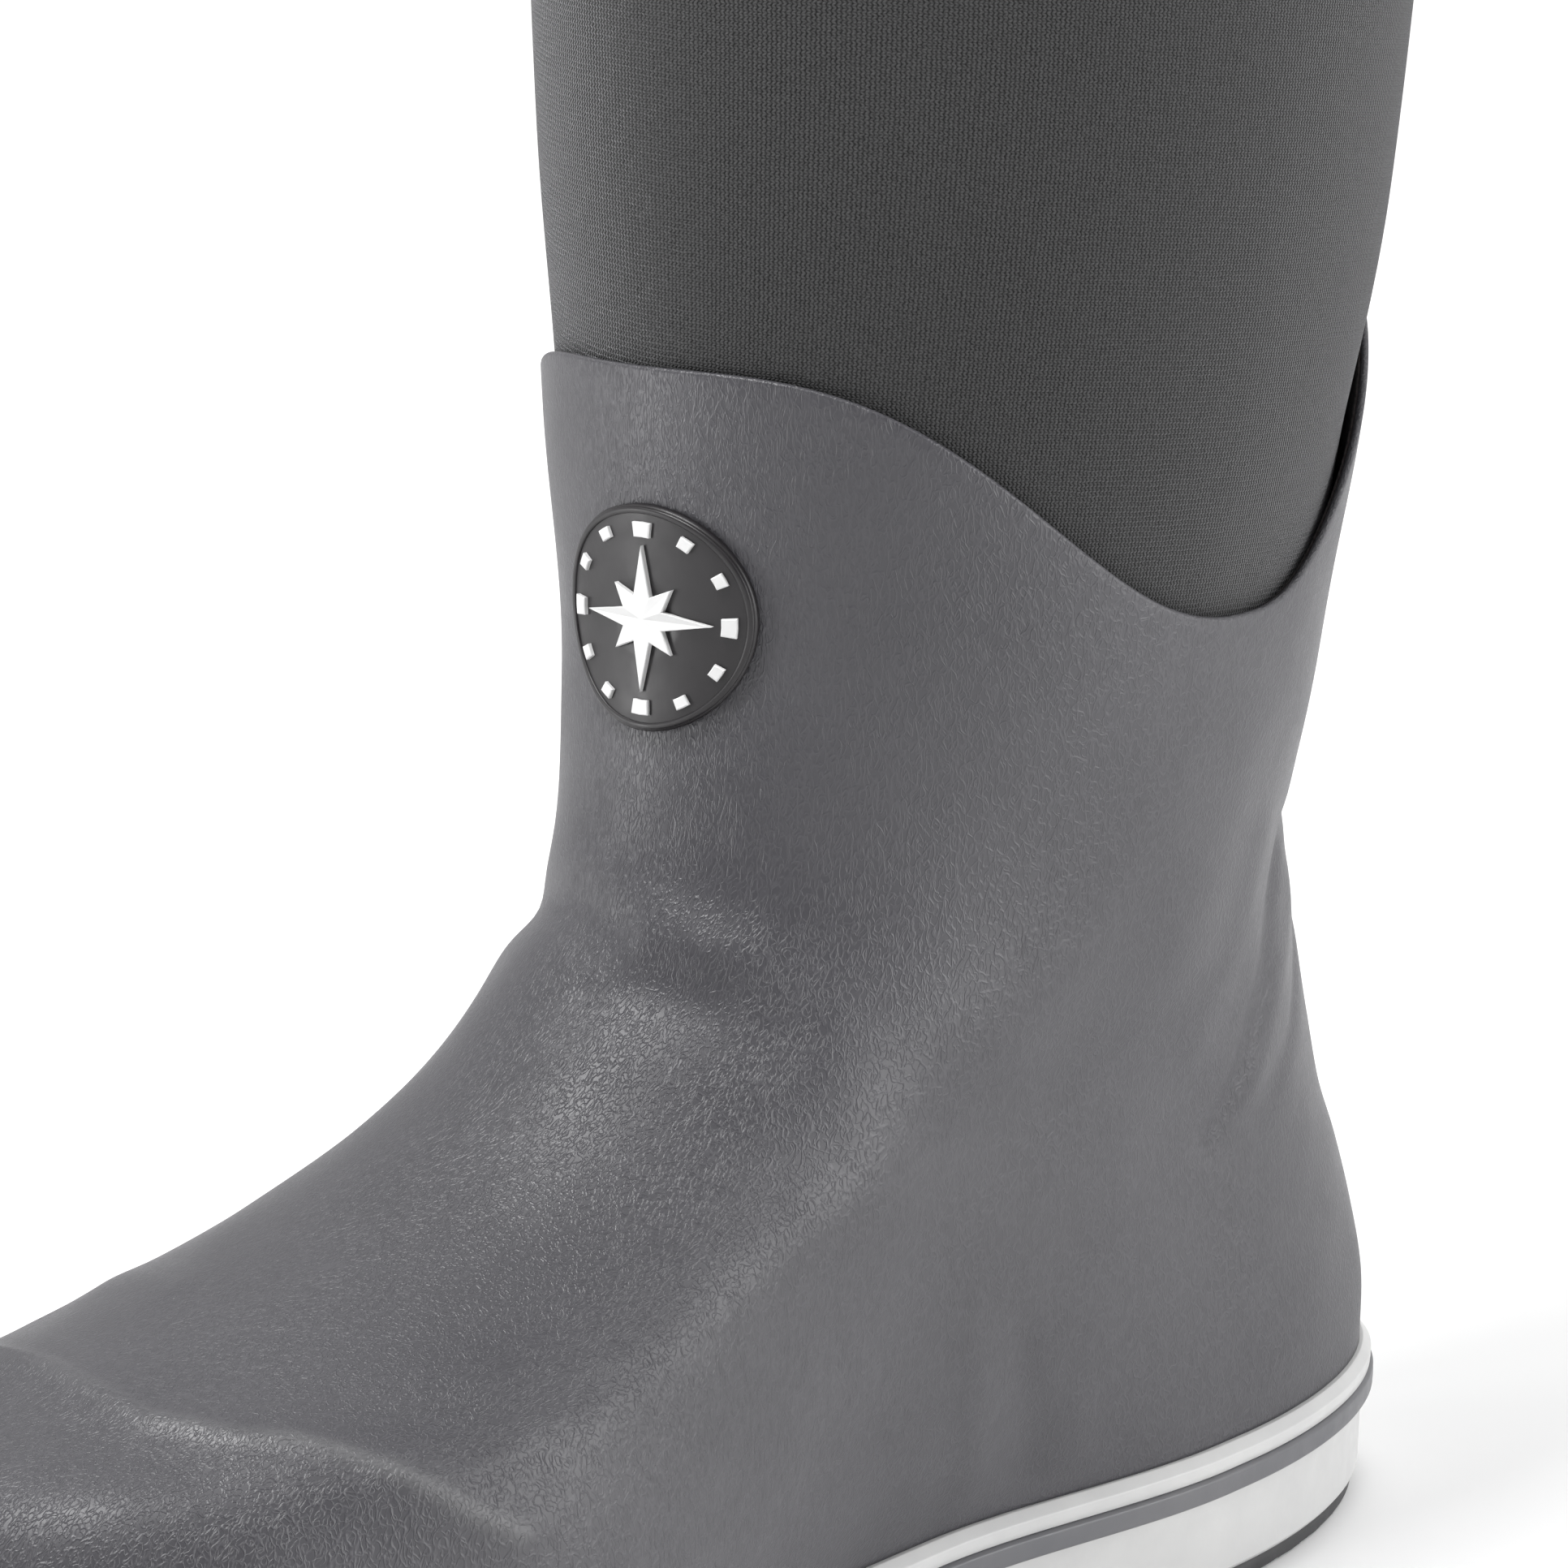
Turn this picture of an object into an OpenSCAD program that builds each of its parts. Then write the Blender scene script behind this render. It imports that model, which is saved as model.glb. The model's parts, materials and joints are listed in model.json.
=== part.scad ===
// Left-foot deck boot: a vulcanised rubber shell over a neoprene bootie, on a flat
// foxed sole. Toe towards -Y, heel towards +Y, outer side of the foot towards +X.
// The origin is on the ground under the middle of the sole.

/* [Sole] */
// Length of the sole over the foxing stripe
sole_len = 304; // [290:1:312]
// Height of the ledge that the rubber shell stands on
sole_h = 25.5; // [24:0.5:28]
// Thickness of the outsole that shows under the sidewall
outsole_show = 2.9; // [2:0.1:3.4]

/* [Upper] */
// Height of the boot at the top edge of its binding
boot_h = 324; // [312:1:340]
// Height of the shell's top edge at the front
topline_front = 203.5; // [196:0.5:210]
// Height of the shell's top edge at its lowest, on each side
topline_side = 164.5; // [160:0.5:172]
// Height of the shell's top edge at the back
topline_back = 208.5; // [200:0.5:214]
// Thickness of the rubber shell
shell_t = 1.5; // [1.2:0.1:1.8]
// Thickness of the neoprene
neoprene_t = 3; // [2.5:0.1:3.2]

/* [Badge] */
// Diameter of the badge on the shin
badge_d = 32; // [26:1:36]
// Height of the badge's centre
badge_z = 168.5; // [164:0.5:174]

/* [Pull loop] */
// Width of the webbing
loop_w = 22; // [18:1:26]
// Length of the loop below its hinge line
loop_len = 52; // [44:1:58]

/* [Hidden] */

// Height of the last ring above the ledge
leg_h = boot_h - sole_h - 0.5;
// Each row is one ring of the shell's outer surface, from the ledge to the top edge:
// front y and z, back y and z, length of the rounded front end and back end,
// half widths of the outer side at forefoot, waist and heel, then of the inner side.
// Every z here counts from the ledge.
stations = [
    [-149.5, 0, 149.5, 0, 82, 60, 47.5, 23.5, 31, 45.5, 26.5, 31],
    [-151, 14, 148.5, 12, 82, 60, 48.5, 29, 32, 46, 30.5, 31.5],
    [-147.5, 34, 145, 24, 80, 59, 47, 33, 32, 44.5, 31, 31.5],
    [-137, 49.5, 140, 37, 78, 58, 44, 35, 32, 42, 33, 31.5],
    [-115, 55.5, 134, 49, 76, 58, 41, 36, 32.5, 39, 34, 32],
    [-89, 61, 129.5, 62, 74, 58, 39, 36.5, 33.5, 37, 35, 33],
    [-62, 69.5, 126, 74, 72, 60, 38, 37, 35, 37, 36.5, 35],
    [-39, 82, 121.5, 86, 70, 62, 40, 40, 38, 39, 39, 38],
    [-20, 103, 118, 99, 70, 67, 43, 43, 42, 42, 42, 42],
    [-13.5, 130, 121, 127, 70, 69, 48, 48, 48, 48, 48, 48],
    [-13.5, 168, 125.5, 168, 71, 70, 54, 54, 54, 54, 54, 54],
    [-14, 216, 129.5, 216, 73, 72, 59.5, 59.5, 59.5, 59.5, 59.5, 59.5],
    [-15.5, leg_h, 137, leg_h, 77, 76, 63, 63, 63, 63, 63, 63]];
last = len(stations) - 1;
// Half widths of the sole in the same order, and its rounded ends
sole_ring = [-152, 0, 152, 0, 84, 62, 50, 26, 33.5, 48, 29, 33.5];
// Lengths along Y in all the rings follow the sole's length
stretch = sole_len / 304;
// Shares of the length where the forefoot ends, the waist starts and ends, the heel starts
girths = [0.26, 0.54, 0.58, 0.78];
// Grid of the sleeves: columns around, then rows in the foot, to the topline and to the hem
columns = 48;
foot_rows = 12;
row_step = 1 / 3;
ankle_rows = 9;
leg_rows = 4;
// Foxing bands, and how far inside the stripe their ledge reaches
welt_h = 3.9;
stripe_h = 3.9;
stripe_z = sole_h - welt_h - stripe_h;
edge_in = -6;
// Depths of the bootie's layers under the skin
shaft_gap = 0.6;
tuck = 0.9;
neo_out = -shell_t - shaft_gap;
neo_in = neo_out - neoprene_t;
lining_in = neo_in - 0.8;
// Top edge: the binding, the end of the neoprene inside it and the loop's hinge line
binding_out = neo_out + 1.1;
hem_z = boot_h - 2.5;
pivot_z = boot_h - 10;
// The badge's angle around the leg, and the shin's radius there
badge_a = 4;
shin_w = 48;

function clamp(v, lo, hi) = min(max(v, lo), hi);
function smooth(a, b, v) = let (q = clamp((v - a) / (b - a), 0, 1)) q * q * (3 - 2 * q);
function mix(a, b, f) = a + (b - a) * f;
function ring_at(t) =
    let (i = min(floor(t), last - 1), f = t - i,
        b = stations[i], c = stations[i + 1],
        a = i > 0 ? stations[i - 1] : 2 * b - c,
        d = i + 2 <= last ? stations[i + 2] : 2 * c - b)
    0.5 * (2 * b + (c - a) * f + (2 * a - 5 * b + 4 * c - d) * f * f
        + (3 * b - a - 3 * c + d) * f * f * f);
// Half width of a ring at share s of its length, on the outer side (side = 6) or the inner (9)
function half_width(r, s, side) =
    let (y = s * (r[2] - r[0]),
        front = 1 - clamp(y / r[4], 0, 1),
        back = 1 - clamp((r[2] - r[0] - y) / r[5], 0, 1),
        waist = mix(r[side], r[side + 1], smooth(girths[0], girths[1], s)))
    (waist + (r[side + 2] - r[side + 1]) * smooth(girths[2], girths[3], s))
        * sqrt(1 - front * front) * sqrt(1 - back * back);
// Point of a ring at angle a, from 0 at the toe through 90 on the outer side
function ring_point(r, a) =
    let (s = (1 - cos(a)) / 2, outer = sin(a) >= 0)
    [half_width(r, s, outer ? 6 : 9) * (outer ? 1 : -1),
        mix(r[0], r[2], s), mix(r[1], r[3], s)];
function skin(t, a) =
    let (p = ring_point(ring_at(clamp(t, 0, last)), a)) [p[0], p[1] * stretch, p[2] + sole_h];
function unit(v) = v / norm(v);
function skin_normal(t, a) =
    unit(cross(skin(t, a + 1) - skin(t, a - 1),
        skin(min(t + 0.05, last), a) - skin(max(t - 0.05, 0), a)));
// Point of the layer that lies off outside the skin, level with the ledge at the bottom
function layer(t, a, off) =
    let (p = skin(t, a), n = skin_normal(t, a), q = p + off * n)
    t == 0 ? [q[0], q[1], sole_h] : q;
// How much deeper the bootie lies in the foot, where the stiffeners are around it
function tucked(t) = -tuck * (1 - smooth(4, 7, t));
// Ring number where the skin reaches height z at angle a
function level(z, a, lo = 8, hi = last, n = 16) =
    n == 0 ? (lo + hi) / 2 :
    let (m = (lo + hi) / 2)
    skin(m, a)[2] < z ? level(z, a, m, hi, n - 1) : level(z, a, lo, m, n - 1);
// Height of the shell's top edge at angle a
function topline(a) =
    let (d = cos(a) + 0.12, front = d > 0)
    mix(topline_side, front ? topline_front : topline_back,
        smooth(0, 1, pow(abs(d) / (front ? 1.12 : 0.88), front ? 1.2 : 1.3)));
// Sole outline, off outside the stripe
function sole_point(a) = let (p = ring_point(sole_ring, a)) [p[0], p[1] * stretch];
function sole_edge(a, off) =
    let (d = sole_point(a + 1) - sole_point(a - 1)) sole_point(a) + off * unit([d[1], -d[0]]);
function sole_outline(off, n = 72) = [for (i = [0:n - 1]) sole_edge(i * 360 / n, off)];

// Faces of a grid of points that wraps around in both directions. From row turn on, where
// a sleeve comes back down inside itself, quads are cut along the other diagonal.
function torus_faces(rows, cols, turn) = [for (j = [0:rows - 1], i = [0:cols - 1])
    let (a = j * cols + i, b = j * cols + (i + 1) % cols, k = ((j + 1) % rows) * cols,
        c = k + (i + 1) % cols, d = k + i)
    each j < turn ? [[a, b, d], [b, c, d]] : [[a, b, c], [a, c, d]]];
// Closed sleeve between two offsets, up to the topline or, for the bootie, up to the hem
module sleeve(outside, inside, bootie = false) {
    rows = foot_rows + ankle_rows + (bootie ? leg_rows : 0);
    hems = at_level(hem_z);
    tops = at_topline();
    function row_t(k, i) = k <= foot_rows ? k * row_step
        : k <= foot_rows + ankle_rows
            ? mix(foot_rows * row_step, tops[i], (k - foot_rows) / ankle_rows)
            : mix(tops[i], hems[i], (k - foot_rows - ankle_rows) / leg_rows);
    grid = [for (j = [0:2 * rows + 1], i = [0:columns - 1])
        let (t = row_t(j <= rows ? j : 2 * rows + 1 - j, i))
        layer(t, i * 360 / columns, (j <= rows ? outside : inside) + (bootie ? tucked(t) : 0))];
    polyhedron(grid, torus_faces(2 * rows + 2, columns, rows), convexity = 8);
}
// Closed pad on the skin, from angle a0 to a1 and ring t0 to t1
module pad(a0, a1, t0, t1, outside, inside, cols, rows) {
    n = (cols + 1) * (rows + 1);
    points = [for (k = [0:1], j = [0:rows], i = [0:cols])
        layer(mix(t0, t1, j / rows), mix(a0, a1, i / cols), k == 0 ? outside : inside)];
    function at(k, j, i) = k * n + j * (cols + 1) + i;
    function quad(a, b, c, d) = [[a, b, c], [a, c, d]];
    faces = [
        for (j = [0:rows - 1], i = [0:cols - 1]) each concat(
            quad(at(0, j, i), at(0, j + 1, i), at(0, j + 1, i + 1), at(0, j, i + 1)),
            quad(at(1, j, i), at(1, j, i + 1), at(1, j + 1, i + 1), at(1, j + 1, i))),
        for (j = [0:rows - 1]) each concat(
            quad(at(0, j, 0), at(1, j, 0), at(1, j + 1, 0), at(0, j + 1, 0)),
            quad(at(0, j, cols), at(0, j + 1, cols), at(1, j + 1, cols), at(1, j, cols))),
        for (i = [0:cols - 1]) each concat(
            quad(at(0, 0, i), at(0, 0, i + 1), at(1, 0, i + 1), at(1, 0, i)),
            quad(at(0, rows, i), at(1, rows, i), at(1, rows, i + 1), at(0, rows, i + 1)))];
    polyhedron(points, faces, convexity = 8);
}
// Closed band around the sole with a section of [off, z] points, listed anticlockwise
module sole_band(section, n = 72) {
    grid = [for (p = section, i = [0:n - 1])
        let (e = sole_edge(i * 360 / n, p[0])) [e[0], e[1], p[1]]];
    polyhedron(grid, torus_faces(len(section), n, len(section)), convexity = 6);
}
// Closed band around the top edge with a section of [off, z] points
module hem_band(section) {
    grid = [for (p = section, i = [0:columns - 1])
        let (a = i * 360 / columns, q = layer(level(p[1], a), a, p[0])) [q[0], q[1], p[1]]];
    polyhedron(grid, torus_faces(len(section), columns, len(section)), convexity = 6);
}
function at_level(z) = [for (i = [0:columns - 1]) level(z, i * 360 / columns)];
function at_topline() = [for (i = [0:columns - 1])
    level(topline(i * 360 / columns), i * 360 / columns)];

// One zigzag siping cut across the tread
module sipe(y) {
    pitch = 8;
    teeth = 7;
    top = [for (i = [-teeth:teeth]) [i * pitch, y + (i % 2 == 0 ? 2.2 : -2.2)]];
    bottom = [for (i = [teeth:-1:-teeth]) [i * pitch, y - 1.2 + (i % 2 == 0 ? 2.2 : -2.2)]];
    polygon(concat(top, bottom));
}
module outsole() color([0.24, 0.24, 0.25]) {
    tread_h = 1.2;
    tread_in = -3.5;
    linear_extrude(tread_h) difference() {
        polygon(sole_outline(tread_in));
        for (y = [-128:9:-20]) sipe(y);
        for (y = [66:9:136]) sipe(y);
    }
    translate([0, 0, tread_h]) linear_extrude(outsole_show - tread_h)
        polygon(sole_outline(tread_in));
    translate([0, 0, outsole_show]) linear_extrude(4.5 - outsole_show)
        polygon(sole_outline(-4.1));
}
module shank_shape(grow) {
    translate([0, 22, 12 - grow]) linear_extrude(1.6 + 2 * grow) hull() {
        translate([0, -48]) circle(7 + grow, $fn = 32);
        translate([0, 48]) circle(7 + grow, $fn = 32);
    }
}
module midsole() color([0.32, 0.32, 0.33]) difference() {
    translate([0, 0, 4.5]) linear_extrude(sole_h - welt_h - 4.5) polygon(sole_outline(-4.1));
    shank_shape(0.1);
}
module shank() color([0.7, 0.71, 0.72]) shank_shape(0);
module sidewall() color([0.83, 0.83, 0.84]) sole_band([[-4, outsole_show],
    [-2.9, outsole_show], [-2.3, outsole_show + 1.2], [-2, 12], [-1.6, stripe_z - 2],
    [-0.6, stripe_z], [-4, stripe_z]]);
module stripe() color([0.4, 0.4, 0.41]) sole_band([[-4, stripe_z], [-0.4, stripe_z],
    [0, stripe_z + 0.6], [0, stripe_z + stripe_h - 0.5], [-0.4, stripe_z + stripe_h],
    [-4, stripe_z + stripe_h]]);
module welt() color([0.85, 0.85, 0.86]) sole_band([[edge_in, sole_h - welt_h],
    [-0.6, sole_h - welt_h], [-0.4, sole_h - 1.4], [-0.9, sole_h - 0.7], [-2.3, sole_h],
    [edge_in, sole_h]]);
module lasting_board() color([0.75, 0.7, 0.6]) translate([0, 0, sole_h - welt_h])
    linear_extrude(welt_h) polygon(sole_outline(edge_in - 0.1));

module rubber_shell() color([0.4, 0.4, 0.41]) sleeve(0, -shell_t);
module shell_backing() color([0.13, 0.12, 0.12])
    sleeve(-shell_t - 0.05, -shell_t - 0.4);
module heel_counter() color([0.5, 0.42, 0.3])
    pad(127.5, 232.5, row_step, foot_rows * row_step, neo_out, neo_out - 0.7, 14, 11);
module toe_puff() color([0.5, 0.42, 0.3])
    pad(-37.5, 37.5, row_step, 11 * row_step, neo_out, neo_out - 0.7, 10, 10);
module neoprene_shaft() color([0.29, 0.29, 0.29]) sleeve(neo_out, neo_in, true);
module bootie_sole() color([0.22, 0.22, 0.23]) translate([0, 0, sole_h])
    linear_extrude(2.5) polygon(sole_outline(edge_in - 5.2));
module lining() color([0.2, 0.2, 0.21]) sleeve(neo_in - 0.05, lining_in, true);
module footbed() color([0.16, 0.3, 0.42]) translate([0, 0, sole_h + 2.5])
    linear_extrude(3) polygon(sole_outline(edge_in - 6.5));
module footbed_cover() color([0.2, 0.21, 0.23]) translate([0, 0, sole_h + 5.5])
    linear_extrude(0.8) polygon(sole_outline(edge_in - 6.8));

module top_binding() color([0.1, 0.1, 0.1]) hem_band([
    [binding_out, boot_h - 14], [binding_out, boot_h - 0.6], [neo_out, boot_h],
    [lining_in, boot_h], [lining_in - 1.1, boot_h - 0.6], [lining_in - 1.1, boot_h - 14],
    [lining_in - 0.3, boot_h - 14], [lining_in - 0.3, hem_z + 0.8],
    [neo_out + 0.3, hem_z + 0.8], [neo_out + 0.3, boot_h - 14]]);
module seam_tape() color([0.12, 0.12, 0.12])
    pad(173, 187, level(topline_back + 4, 180), level(boot_h - 16, 180),
        neo_out + 0.7, neo_out, 4, 10);

// Back of the binding's outer face on the centre line
function back_face() = layer(last, 180, binding_out)[1];
pivot_y = back_face() + 4;
module webbing(path, width) {
    translate([-width / 2, 0, 0]) rotate([90, 0, 90]) linear_extrude(width) polygon(path);
}
module loop_anchor() color([0.1, 0.1, 0.1]) {
    f = back_face() + 0.1;
    webbing([[f, pivot_z - 4], [f + 1.2, pivot_z - 4], [f + 1.2, pivot_z + 4],
        [f, pivot_z + 4]], loop_w + 6);
}
// The loop hangs from its hinge line as one closed strap with a finger gap inside
module pull_loop() color([0.1, 0.1, 0.1]) {
    r_out = 5.2;
    strap = 1.5;
    neck = 1.6;
    low = pivot_z - loop_len + r_out;
    translate([-loop_w / 2, pivot_y, 0]) rotate([90, 0, 90]) linear_extrude(loop_w) {
        translate([0, pivot_z]) circle(neck, $fn = 32);
        difference() {
            hull() {
                translate([1.4, pivot_z - 10]) circle(r_out - 1.4, $fn = 32);
                translate([1.4, low]) circle(r_out, $fn = 48);
                translate([0, pivot_z]) circle(neck - 0.1, $fn = 32);
            }
            hull() {
                translate([1.4, pivot_z - 10]) circle(r_out - 1.4 - strap, $fn = 32);
                translate([1.4, low]) circle(r_out - strap, $fn = 48);
            }
        }
    }
}

// Point at radius r and clock angle b about the badge's centre, off outside the shin
function spot(r, b, off) =
    let (a = badge_a + r * sin(b) / shin_w * 180 / PI, t = level(badge_z + r * cos(b), a))
    layer(t, a, off);
// Closed tile on the shin with one radius for each equal step of clock angle
module tile(radii, bottom, top, inner = 0, rings = 2) {
    n = len(radii);
    shares = [for (k = [0:rings]) mix(inner, 1, k / rings)];
    points = [
        for (k = [0:rings], i = [0:n - 1]) spot(radii[i] * shares[k], i * 360 / n, top),
        for (k = [rings:-1:0], i = [0:n - 1]) spot(radii[i] * shares[k], i * 360 / n, bottom)];
    polyhedron(points, torus_faces(2 * rings + 2, n, 2 * rings + 2), convexity = 4);
}
// Short raised mark, from radius r0 to r1 and half_a degrees to each side of clock angle b
module tick(b, half_a, r0, r1) {
    corners = [for (off = [1.65, 2.1], k = [[r0, -1], [r1, -1], [r1, 1], [r0, 1]])
        spot(k[0], b + k[1] * half_a, off)];
    polyhedron(corners, [[0, 1, 2, 3], [7, 6, 5, 4], [0, 4, 5, 1], [1, 5, 6, 2],
        [2, 6, 7, 3], [3, 7, 4, 0]]);
}
module badge_disc() color([0.13, 0.12, 0.13])
    tile([for (i = [0:35]) badge_d / 2], 0.6, 1.5, 0.02, 4);
module badge_rim() color([0.13, 0.12, 0.13])
    tile([for (i = [0:35]) badge_d / 2], 1.55, 2, 0.93, 1);
module badge_ticks() color([0.9, 0.9, 0.9]) for (k = [0:11])
    tick(k * 30, k % 3 == 0 ? 5 : 2.5, badge_d * (k % 3 == 0 ? 0.37 : 0.39), badge_d * 0.43);
module badge_star() color([0.9, 0.9, 0.9])
    tile([for (i = [0:15]) badge_d * (i % 4 == 0 ? 0.34 : i % 4 == 2 ? 0.2 : 0.09)],
        1.8, 2.4, 0.05, 2);

outsole();
midsole();
shank();
sidewall();
stripe();
welt();
lasting_board();
rubber_shell();
shell_backing();
heel_counter();
toe_puff();
neoprene_shaft();
bootie_sole();
lining();
footbed();
footbed_cover();
top_binding();
seam_tape();
loop_anchor();
pull_loop();
badge_disc();
badge_rim();
badge_ticks();
badge_star();
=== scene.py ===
"""Left deck boot: rubber shell over a knit-faced neoprene leg, on a flat foxed sole.

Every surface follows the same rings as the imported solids, in millimetres until the mesh
is made. Toe towards -Y, heel towards +Y, outer side of the foot towards +X, +Z up.
"""
import json
import math

import bpy
import numpy as np
from mathutils import Matrix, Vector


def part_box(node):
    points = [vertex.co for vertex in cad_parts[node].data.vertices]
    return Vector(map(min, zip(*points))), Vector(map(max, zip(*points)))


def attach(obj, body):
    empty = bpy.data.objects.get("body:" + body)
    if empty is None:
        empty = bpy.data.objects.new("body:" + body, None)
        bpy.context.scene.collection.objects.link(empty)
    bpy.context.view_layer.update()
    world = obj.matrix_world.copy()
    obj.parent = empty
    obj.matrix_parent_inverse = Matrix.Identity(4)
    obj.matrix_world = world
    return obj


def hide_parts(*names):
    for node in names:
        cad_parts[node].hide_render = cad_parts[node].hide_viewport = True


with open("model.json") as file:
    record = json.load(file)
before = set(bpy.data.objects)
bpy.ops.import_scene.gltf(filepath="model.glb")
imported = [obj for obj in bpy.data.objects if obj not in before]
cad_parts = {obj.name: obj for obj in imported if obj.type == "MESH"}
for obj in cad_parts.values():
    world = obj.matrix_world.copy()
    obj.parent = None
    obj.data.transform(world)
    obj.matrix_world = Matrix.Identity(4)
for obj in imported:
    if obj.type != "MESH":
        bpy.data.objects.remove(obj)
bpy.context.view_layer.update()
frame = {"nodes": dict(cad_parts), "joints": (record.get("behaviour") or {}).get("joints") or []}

# ---------------------------------------------------------------- camera
AIM = np.array([0.0, 17.4, 138.9])
AZIMUTH, ELEVATION, DISTANCE = math.radians(44), math.radians(13.4), 636.5
LENS, SENSOR = 100.2, 36
camera_data = bpy.data.cameras.new("camera")
camera = bpy.data.objects.new("camera", camera_data)
bpy.context.scene.collection.objects.link(camera)
toward = np.array([math.sin(AZIMUTH) * math.cos(ELEVATION),
                   -math.cos(AZIMUTH) * math.cos(ELEVATION), math.sin(ELEVATION)])
camera.location = (AIM + DISTANCE * toward) * 0.001
camera.rotation_euler = (math.pi / 2 - ELEVATION, 0, AZIMUTH)
camera_data.lens = LENS
camera_data.sensor_width = SENSOR
camera_data.clip_start = 0.01
bpy.context.scene.camera = camera

# ---------------------------------------------------------------- the boot's rings
# SOLE_H is the height of the ledge that the shell stands on
SOLE_H, BOOT_H = 25.5, 324
HEM_Z = BOOT_H - 2.5
# height of the shell's top edge at the front, at its lowest on each side, and at the back
TOP_FRONT, TOP_SIDE, TOP_BACK = 203.5, 164.5, 208.5
# depths under the rings: inside of the rubber, inside of its textile, the free bootie
RUBBER_IN, NET_IN, BOOTIE_OUT = -1.2, -1.6, -2.1
NEOPRENE_T = 3
# One row for each ring, from the sole up, with z from the ledge: front y and z, back y and
# z, lengths of the rounded front and back ends, then half widths at the forefoot, waist and
# heel on the outer side and on the inner side
STATIONS = np.array([
    [-149.5, 0, 149.5, 0, 82, 60, 47.5, 23.5, 31, 45.5, 26.5, 31],
    [-151, 14, 148.5, 12, 82, 60, 48.5, 29, 32, 46, 30.5, 31.5],
    [-147.5, 34, 145, 24, 80, 59, 47, 33, 32, 44.5, 31, 31.5],
    [-137, 49.5, 140, 37, 78, 58, 44, 35, 32, 42, 33, 31.5],
    [-115, 55.5, 134, 49, 76, 58, 41, 36, 32.5, 39, 34, 32],
    [-89, 61, 129.5, 62, 74, 58, 39, 36.5, 33.5, 37, 35, 33],
    [-62, 69.5, 126, 74, 72, 60, 38, 37, 35, 37, 36.5, 35],
    [-39, 82, 121.5, 86, 70, 62, 40, 40, 38, 39, 39, 38],
    [-20, 103, 118, 99, 70, 67, 43, 43, 42, 42, 42, 42],
    [-13.5, 130, 121, 127, 70, 69, 48, 48, 48, 48, 48, 48],
    [-13.5, 168, 125.5, 168, 71, 70, 54, 54, 54, 54, 54, 54],
    [-14, 216, 129.5, 216, 73, 72, 59.5, 59.5, 59.5, 59.5, 59.5, 59.5],
    [-15.5, 298, 137, 298, 77, 76, 63, 63, 63, 63, 63, 63]], float)
SOLE_RING = np.array([-152, 0, 152, 0, 84, 62, 50, 26, 33.5, 48, 29, 33.5], float)
LAST = len(STATIONS) - 1


def smooth(a, b, v):
    """0 up to a, 1 from b, and a soft step between them."""
    q = np.clip((v - a) / (b - a), 0, 1)
    return q * q * (3 - 2 * q)


def mix(a, b, f):
    return a + (b - a) * f


def ring_at(t):
    """Smooth blend of the rings; t counts them from the sole."""
    t = np.clip(t, 0, LAST - 1e-9)
    i = np.floor(t).astype(int)
    f = (t - i)[..., None]
    b, c = STATIONS[i], STATIONS[i + 1]
    a = np.where((i > 0)[..., None], STATIONS[np.maximum(i - 1, 0)], 2 * b - c)
    d = np.where((i + 2 <= LAST)[..., None], STATIONS[np.minimum(i + 2, LAST)], 2 * c - b)
    return 0.5 * (2 * b + (c - a) * f + (2 * a - 5 * b + 4 * c - d) * f ** 2
                  + (3 * b - a - 3 * c + d) * f ** 3)


def ring_point(r, a):
    """Point of ring r at angle a, from 0 at the toe to pi at the heel, outer side positive."""
    s = (1 - np.cos(a)) / 2
    outer = np.sin(a) >= 0
    y0, z0, y1, z1, front, back = [r[..., k] for k in range(6)]
    fore, waist, heel = [np.where(outer, r[..., 6 + k], r[..., 9 + k]) for k in range(3)]
    half = mix(fore, waist, smooth(0.26, 0.54, s)) + (heel - waist) * smooth(0.58, 0.78, s)
    y = s * (y1 - y0)
    ends = [np.sqrt(np.maximum(1 - (1 - np.clip(v, 0, 1)) ** 2, 0))
            for v in (y / front, (y1 - y0 - y) / back)]
    return np.stack([half * ends[0] * ends[1] * np.where(outer, 1, -1),
                     mix(y0, y1, s), mix(z0, z1, s)], -1)


def skin(t, a):
    t, a = np.broadcast_arrays(np.asarray(t, float), np.asarray(a, float))
    return ring_point(ring_at(t), a) + np.array([0, 0, SOLE_H])


def unit(v):
    return v / np.maximum(np.linalg.norm(v, axis=-1, keepdims=True), 1e-9)


def skin_normal(t, a):
    step = math.radians(1)
    return unit(np.cross(skin(t, a + step) - skin(t, a - step),
                         skin(np.minimum(t + 0.05, LAST), a) - skin(np.maximum(t - 0.05, 0), a)))


def layer(t, a, off):
    """Surface off mm outside the skin, kept level where it stands on the ledge."""
    t, a, off = np.broadcast_arrays(np.asarray(t, float), np.asarray(a, float),
                                    np.asarray(off, float))
    q = skin(t, a) + off[..., None] * skin_normal(t, a)
    q[..., 2] = np.where(t <= 0, SOLE_H, q[..., 2])
    return q


def level(z, a):
    """Ring number where the skin reaches height z at angle a."""
    shape = np.broadcast(z, a).shape
    lo, hi = np.full(shape, 8.0), np.full(shape, float(LAST))
    for _ in range(24):
        m = (lo + hi) / 2
        low = skin(m, a)[..., 2] < z
        lo, hi = np.where(low, m, lo), np.where(low, hi, m)
    return (lo + hi) / 2


def topline(a):
    """Height of the shell's top edge at angle a."""
    d = np.cos(a) + 0.12
    front = d > 0
    return mix(TOP_SIDE, np.where(front, TOP_FRONT, TOP_BACK),
               smooth(0, 1, (np.abs(d) / np.where(front, 1.12, 0.88))
                      ** np.where(front, 1.2, 1.3)))


def tucked(t):
    """How far the bootie is drawn in around the foot."""
    return -0.9 * (1 - smooth(4, 7, t))


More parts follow.
